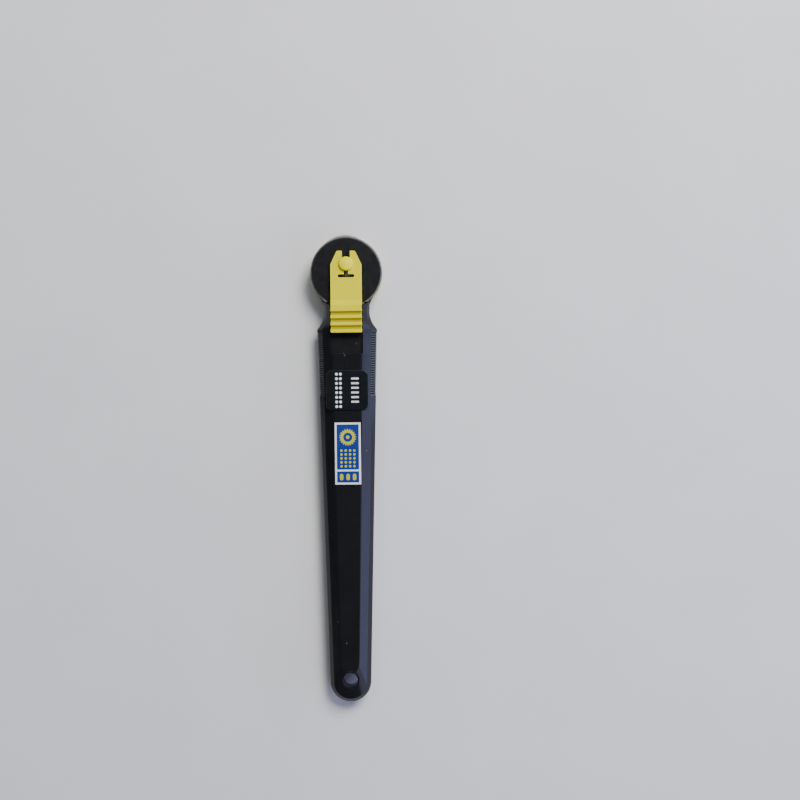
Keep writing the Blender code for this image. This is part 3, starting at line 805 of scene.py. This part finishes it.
def skin_patch(half, y_span, lift, depth):
    """A thin sheet that follows the handle's front."""
    columns, rows = 56, 12
    bm = bmesh.new()
    grids = []
    for offset in (lift, lift + depth):
        grid = []
        for j in range(rows + 1):
            y = y_span[0] + (y_span[1] - y_span[0]) * j / rows
            xs = [half * (2 * i / columns - 1) for i in range(columns + 1)]
            grid.append([bm.verts.new((x, y, skin_height(x, y) + offset)) for x in xs])
        grids.append(grid)
    for grid in grids:
        for low, high in zip(grid, grid[1:]):
            for i in range(columns):
                bm.faces.new((low[i], low[i + 1], high[i + 1], high[i]))
    borders = [
        [grid[0], [row[-1] for row in grid], grid[-1][::-1], [row[0] for row in grid][::-1]]
        for grid in grids
    ]
    for low, high in zip(*borders):
        for i in range(len(low) - 1):
            bm.faces.new((low[i], low[i + 1], high[i + 1], high[i]))
    return bm


def gear_outline(x, y, radius, teeth, depth):
    points = []
    for i in range(teeth):
        for part, r in ((0.0, radius), (0.3, radius), (0.5, radius - depth), (0.8, radius - depth)):
            a = 2 * math.pi * (i + part) / teeth
            points.append((x + r * math.cos(a), y + r * math.sin(a)))
    return points


def make_label(looks):
    """A printed vinyl sticker: white border, blue field, a toothed wheel and a line of dots."""
    sheet = skin_patch(LABEL_HALF, LABEL_Y, 0.02, 0.08)
    base = new_object("label_base", sheet, looks["label_white"])
    smooth_faces(base)
    stand_for(base, "handle", "label_print", "front_label")
    border = 0.55
    split = LABEL_Y[0] + 4.1
    fields = {
        "label_field": (split + 0.25, LABEL_Y[1] - border),
        "label_foot": (LABEL_Y[0] + border, split - 0.25),
    }
    for name, y_span in fields.items():
        sheet = skin_patch(LABEL_HALF - border, y_span, 0.09, 0.02)
        field = new_object(name, sheet, looks["label_blue"])
        smooth_faces(field)
        stand_for(field, "handle", "label_print")
    z_span = (THICKNESS + 0.1, THICKNESS + 0.125)
    wheel_y = LABEL_Y[1] - 4.3
    outline = gear_outline(0, wheel_y, 2.45, 20, 0.4)
    ring = new_object("label_wheel", prism(outline, *z_span), looks["label_gold"])
    cut(ring, cylinder(0, wheel_y, 1.35, (THICKNESS - 1, THICKNESS + 1)), "ring_hole")
    smooth_faces(ring)
    stand_for(ring, "handle", "label_print")
    dots = [(0.0, wheel_y, 0.5, 0.5)]
    columns = (-1.9, -0.63, 0.63, 1.9)
    dots += [(x, wheel_y - 3.9 - 1.15 * i, 0.36, 0.36) for i in range(5) for x in columns]
    dots += [(x, (LABEL_Y[0] + split) / 2 + 0.12, 0.5, 0.95) for x in (-1.9, 0.0, 1.9)]
    marks = new_object("label_dots", dashes(dots, *z_span), looks["label_gold"])
    smooth_faces(marks)
    stand_for(marks, "handle", "label_print")


def make_screw(name, looks):
    """A domed head with a cross recess, and rings that stand for the thread."""
    y = screw_y(name)
    low, high = cad_span(name, 2)
    profile = [(0.02, low), (0.9, low + 0.02), (1.5, low + 0.18), (1.78, low + 0.42)]
    profile += [(SCREW_HEAD_R, low + 0.62), (SCREW_HEAD_R, 1.48), (SCREW_HEAD_R - 0.04, 1.5)]
    root, crest = THREAD_ROOT_R, SCREW_SHANK_R
    profile += [(crest, 1.5), (crest, 2.0)]
    for i in range(8):
        z = 2.0 + 0.5 * i
        profile += [(root, z + 0.12), (root, z + 0.26), (crest, z + 0.34), (crest, z + 0.42)]
    profile += [(root, high - 0.5), (0.05, high)]
    screw = new_object(f"{name}_fine", turned(0, y, profile), looks["screw"])
    for half_x, half_y in ((1.05, 0.2), (0.2, 1.05)):
        mouth = [(half_x, half_y, low - 0.3), (half_x, half_y, low + 0.25)]
        arms = [*mouth, (half_x * 0.45, half_y * 0.7, low + 0.9)]
        loops = [
            [(-a, y - b, z), (a, y - b, z), (a, y + b, z), (-a, y + b, z)] for a, b, z in arms
        ]
        cut(screw, loft(loops), "drive")
    soften(screw, 0.04, 2, 42)
    stand_for(screw, "handle", "screw_steel", name)


# ---------------------------------------------------------------- guard plates


def guard_outline(inset, tang_y):
    """The disc, the hollows of the neck and the tang that ends at tang_y, drawn in by inset."""
    angle = math.atan2(NECK_Y - HEAD_Y, NECK_X)
    disc_steps = 150
    span = math.pi - 2 * angle
    disc = [
        ((HEAD_R - inset) * math.cos(a), HEAD_Y + (HEAD_R - inset) * math.sin(a))
        for a in (angle + span * i / disc_steps for i in range(disc_steps + 1))
    ]
    shoulder_y = SHELL_END_Y + 0.05
    reach = NECK_R + inset
    end = math.asin((shoulder_y - NECK_Y) / reach)
    arc = []
    for i in range(12):
        a = math.pi - (end + (-angle - end) * i / 12)
        arc.append((NECK_X + reach * math.cos(a), NECK_Y + reach * math.sin(a)))
    side = TANG_HALF - inset
    right = [(side, tang_y + inset), (side, shoulder_y + inset * 0.1)] + arc
    return right + disc + [(-x, y) for x, y in reversed(right)]


def guard_plate(z_span, tang_y, chamfer):
    low, high = z_span

    def level(inset, z):
        return [(x, y, z) for x, y in guard_outline(inset, tang_y)]

    levels = (
        (level(0.5, low), 0.0, 0),
        (level(0.25, low), 0.15, 3),
        (level(0.0, low + 0.25), 0.15, 3),
        (level(0.0, high - chamfer), 0.15, 3),
        (level(chamfer, high), 0.15, 3),
        (level(chamfer + 0.4, high), 0.0, 0),
    )
    return loft(round_levels(levels))


def make_front_guard(looks):
    low, high = GUARD_FRONT_Z
    tang_y = cad_span("front_guard", 1)[0]
    plate = guard_plate(GUARD_FRONT_Z, tang_y, FRONT_CHAMFER)
    guard = new_object("front_guard_fine", plate, looks["guard"])
    through = (low - 1, high + 1)
    axle_slot = slot_outline(0, AXLE_Y - TRAVEL, AXLE_Y, AXLE_R + 0.2)
    cut(guard, prism(axle_slot, *through), "axle_slot")
    post_y = (POST_Y[0] - TRAVEL - POST_GAP, POST_Y[1] + POST_GAP)
    cut(guard, box((-POST_HALF - 0.2, POST_HALF + 0.2), post_y, through), "post_slot")
    cut(guard, cylinder(0, screw_y(SCREWS[0]), 2.35, through), "boss_hole")
    smooth_faces(guard, 32)
    stand_for(guard, "handle", "handle_black", "front_guard")


def make_rear_guard(looks):
    low, high = GUARD_REAR_Z
    tang_y = cad_span("rear_guard", 1)[0]
    plate = guard_plate(GUARD_REAR_Z, tang_y, REAR_CHAMFER)
    guard = new_object("rear_guard_fine", plate, looks["rear_guard"])
    slot = slot_outline(0, AXLE_Y - TRAVEL, AXLE_Y, SPINDLE_R + 0.2)
    cut(guard, prism(slot, low - 1, high + 1), "spindle_slot")
    smooth_faces(guard, 32)
    stand_for(guard, "handle", "guard_yellow", "rear_guard")


# ---------------------------------------------------------------- slider, axle and wheel


def slider_profile():
    """(y, z) round the slider's side: thin plate, ramp, then four rounded ridges."""
    low, plate, top = SLIDER_LOW_Z, SLIDER_PLATE_Z, SLIDER_TOP_Z
    groove = top - SLIDER_GROOVE
    pitch, ridge, bank = SLIDER_PITCH, SLIDER_RIDGE, SLIDER_BANK
    past_tip = SLIDER_TIP_Y + 1
    points = [(past_tip, low), (past_tip, plate), (49.35, plate), (47.95, top)]
    last = SLIDER_END_Y + 3 * pitch + ridge
    for i in range(4):
        near, far = last - i * pitch, last - i * pitch - ridge
        if i:
            points += [(near + bank, groove), (near, top)]
        points += [(far, top)] if i < 3 else [(SLIDER_END_Y + 0.02, top)]
        if i < 3:
            points.append((far - bank, groove))
    points += [(SLIDER_END_Y, top - 0.05), (SLIDER_END_Y, low)]
    return round_path(points, 0.2, 4)


def slider_outline():
    """Plan outline with a chamfered tip, and sides that swell slightly at each ridge."""
    side = []
    start = SLIDER_END_Y + 0.42
    for i in range(40):
        y = SLIDER_END_Y + 0.15 + i * 0.2
        wave = 0.5 + 0.5 * math.cos(2 * math.pi * (y - start) / SLIDER_PITCH)
        side.append((SLIDER_HALF - 0.1 * (1 - wave), y))
    side_x, tip_y = SLIDER_HALF - 0.02, SLIDER_TIP_Y
    corners = [(side_x, 49.0), (side_x, tip_y - 4.0), (2.67, tip_y), (0.0, tip_y)]
    tip = round_path(corners, 0.3, 4)
    right = [(SLIDER_HALF - 0.25, SLIDER_END_Y), *side, *tip[:-1]]
    return right + [(-x, y) for x, y in reversed(right)]


def post_profile():
    """(y, z) round the side of the post, with the hook at its foot that holds the keeper."""
    back, front = POST_Y
    foot, step, top, hook = 3.5, 3.85, 7.6, 0.3
    points = [(back - hook, foot), (back - hook, step), (back, step), (back, top)]
    points += [(front, top), (front, step), (front + hook, step), (front + hook, foot)]
    return round_path(points, 0.1, 3)


def make_thumb_slider(looks):
    side_view = profile_along_x(slider_profile(), (-7, 7))
    slider = new_object("thumb_slider_fine", side_view, looks["slider"])
    boolean(slider, prism(slider_outline(), 7.0, 11.0), "INTERSECT", "plan")
    through = (6.0, 9.5)
    notch_top = SLIDER_TIP_Y + 1
    notch = [(-1.2, AXLE_Y + 0.5), (-1.2, notch_top), (1.2, notch_top), (1.2, AXLE_Y + 0.5)]
    cut(slider, prism(notch, *through), "notch")
    cut(slider, cylinder(0, AXLE_Y, AXLE_R + 0.1, through), "axle_hole")
    bar = [(y, x + FLEX_SLOT_Y) for x, y in slot_outline(0, -1.95, 1.95, 0.5)]
    cut(slider, prism(bar, *through), "flex_slot")
    cut(slider, box((-0.65, 0.65), (FLEX_SLOT_Y, AXLE_Y - 0.5), through), "jaw_slit")
    soften(slider, 0.16, 3, 34)
    side_view = profile_along_x(post_profile(), (-POST_HALF, POST_HALF))
    post = new_object("slider_post", side_view, looks["slider"])
    smooth_faces(post)
    stand_for(post, "slider", "slider_yellow")
    stand_for(slider, "slider", "slider_yellow", "thumb_slider")


def make_axle(looks):
    low, high = KNOB_Z
    shoulder = 0.82  # where the crown starts, as a height and as a share of the knob's radius
    dome = [(0.95, low), (KNOB_R - 0.06, low), (KNOB_R, low + 0.07), (KNOB_R, low + 0.5)]
    dome += [(KNOB_R - 0.04, low + 0.62), (KNOB_R - 0.14, low + 0.72), (KNOB_R - 0.32, low + 0.8)]
    for t in (0.05, 0.2, 0.4, 0.6, 0.8, 0.97):
        rise = (high - low - shoulder) * (1 - (1 - t) ** 2)
        dome.append((KNOB_R * (1 - t) * shoulder, low + shoulder + rise))
    knob = new_object("axle_knob_fine", turned(0, AXLE_Y, dome, 96), looks["knob"])
    smooth_faces(knob)
    stand_for(knob, "axle", "slider_yellow", "axle_knob")
    bottom, top = PIN_Z
    thin, step_z = SPINDLE_R, 5.15
    pin = [(0.55, bottom), (0.8, bottom + 0.03), (thin, bottom + 0.33), (thin, bottom + 0.9)]
    pin += [(1.02, bottom + 0.98), (1.02, bottom + 1.12), (thin, bottom + 1.2), (thin, step_z)]
    pin += [(1.42, step_z), (AXLE_R, step_z + 0.08), (AXLE_R, low - 0.1), (1.46, low - 0.05)]
    pin += [(0.9, low - 0.05), (0.9, top)]
    spindle = new_object("axle_pin_fine", turned(0, AXLE_Y, pin, 96), looks["pin"])
    smooth_faces(spindle)
    stand_for(spindle, "axle", "pin_steel", "axle_pin")


def hex_radius(angle, flats):
    """Distance from the middle of a hexagon to its side, in this direction."""
    sixth = math.pi / 3
    return flats / 2 / math.cos((angle % sixth) - sixth / 2)


def make_wheel(looks):
    """A thin hardened disc: hexagonal hole, turned faces and a bevelled, toothed rim."""
    low, high = WHEEL_Z
    count = TEETH * TOOTH_POINTS
    rings = (
        ("hex", HEX_FLATS, low + 0.06),
        ("hex", HEX_FLATS, high - 0.06),
        ("hex", 4.1, high),
        ("ring", 3.6, high),
        ("ring", 3.75, high - 0.05),
        ("ring", 7.3, high - 0.05),
        ("ring", 7.45, high),
        ("ring", WHEEL_FACE_R, high),
        ("teeth", WHEEL_R - 0.12, high - 0.16),
        ("teeth", WHEEL_R, high - 0.22),
        ("teeth", WHEEL_R, low + 0.22),
        ("teeth", WHEEL_R - 0.12, low + 0.16),
        ("ring", WHEEL_FACE_R, low),
        ("hex", 4.1, low),
    )
    bm = bmesh.new()
    loops = []
    for kind, size, z in rings:
        loop = []
        for i in range(count):
            a = math.pi / 2 + 2 * math.pi * (i - 0.5) / count
            radius = size
            if kind == "hex":
                radius = hex_radius(a, size)
            elif kind == "teeth":
                radius = size - GAP_DEPTH * TOOTH_BITE[i % TOOTH_POINTS]
            loop.append(bm.verts.new((radius * math.cos(a), AXLE_Y + radius * math.sin(a), z)))
        loops.append(loop)
    for first, second in zip(loops, loops[1:] + loops[:1]):
        for i in range(count):
            j = (i + 1) % count
            bm.faces.new((first[i], first[j], second[j], second[i]))
    wheel = new_object("rivet_wheel_fine", bm, looks["wheel"])
    smooth_faces(wheel, 24)
    stand_for(wheel, "wheel", "wheel_steel", "rivet_wheel")


def dress_cad(looks):
    """Better materials for the pieces inside, which keep their CAD shape."""
    shown = {
        "hex_hub": "hub",
        "front_washer": "pin",
        "rear_washer": "spring",
        "detent_spring": "spring",
        "slider_keeper": "keeper",
    }
    for node, look in shown.items():
        for material_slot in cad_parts[node].material_slots:
            material_slot.material = looks[look]


# ---------------------------------------------------------------- floor, lights and camera


def make_floor():
    look = Surface("floor_pale", Roughness=0.6)
    tone = look.span(look.noise(30.0, 4.0), 0.0, 1.0)
    look.colour(look.mix(tone, (0.68, 0.69, 0.71), (0.71, 0.72, 0.74)))
    look.bump(look.noise(2500.0, 2.0), 0.00001)
    size, z = 1500.0, -0.25
    bm = bmesh.new()
    corners = [(-size, -size, z), (size, -size, z), (size, size, z), (-size, size, z)]
    bm.faces.new([bm.verts.new(point) for point in corners])
    for vert in bm.verts:
        vert.co *= MM
    mesh = bpy.data.meshes.new("floor")
    bm.to_mesh(mesh)
    bm.free()
    mesh.materials.append(look.material)
    floor = bpy.data.objects.new("floor", mesh)
    bpy.context.scene.collection.objects.link(floor)


def area_light(name, position, target, size, power, colour):
    """A panel aimed at a point. Position and target are in metres."""
    light = bpy.data.lights.new(name, "AREA")
    light.shape = "RECTANGLE"
    light.size, light.size_y = size
    light.energy = power
    light.color = colour
    obj = bpy.data.objects.new(name, light)
    obj.location = position
    aim = Vector(target) - Vector(position)
    obj.rotation_euler = aim.to_track_quat("-Z", "Y").to_euler()
    bpy.context.scene.collection.objects.link(obj)


def make_lights():
    """A warm key past the head on the right, and blue panels that the dark facets mirror."""
    world = bpy.data.worlds.new("studio")
    world.use_nodes = True
    background = world.node_tree.nodes["Background"]
    background.inputs["Color"].default_value = (0.7, 0.74, 0.8, 1.0)
    background.inputs["Strength"].default_value = 0.14
    bpy.context.scene.world = world
    centre, tail = (0.0, 0.0, 0.0), (0.0, -0.06, 0.0)
    warm, blue, pale_blue, cool = (1.0, 0.98, 0.95), (0.5, 0.55, 1.0), (0.66, 0.68, 1.0), (0.95, 0.97, 1.0)
    area_light("key", (0.35, 0.55, 0.75), centre, (0.45, 0.45), 14.0, warm)
    area_light("side_panel", (0.85, 0.1, 0.18), centre, (1.2, 0.36), 5.6, blue)
    area_light("tail_panel", (0.6, -0.42, 0.52), tail, (0.7, 0.55), 3.0, pale_blue)
    area_light("fill", (-0.30, 0.60, 0.80), centre, (0.5, 0.5), 1.6, cool)


def make_camera():
    """Straight above the tool, which lies left of the view's middle with its head leaning left."""
    distance, view_width, lean = 375.0, 237.4, 0.0109
    camera = bpy.data.cameras.new("camera")
    camera.sensor_width = 36.0
    camera.lens = 36.0 * distance / view_width
    camera.clip_end = 10.0
    obj = bpy.data.objects.new("camera", camera)
    across, along = 15.87, -37.62
    x = across + lean * along
    y = HEAD_Y - lean * across + along
    obj.location = (x * MM, y * MM, (distance + 4.5) * MM)
    obj.rotation_euler = (0.0, 0.0, -math.atan(lean))
    bpy.context.scene.collection.objects.link(obj)
    bpy.context.scene.camera = obj


def main():
    looks = make_materials()
    make_front_shell(looks)
    make_rear_shell(looks)
    make_front_guard(looks)
    make_rear_guard(looks)
    make_finger_pad(looks)
    make_pad_print(looks)
    make_label(looks)
    for name in SCREWS:
        make_screw(name, looks)
    make_thumb_slider(looks)
    make_axle(looks)
    make_wheel(looks)
    dress_cad(looks)
    make_floor()
    make_lights()
    make_camera()


main()
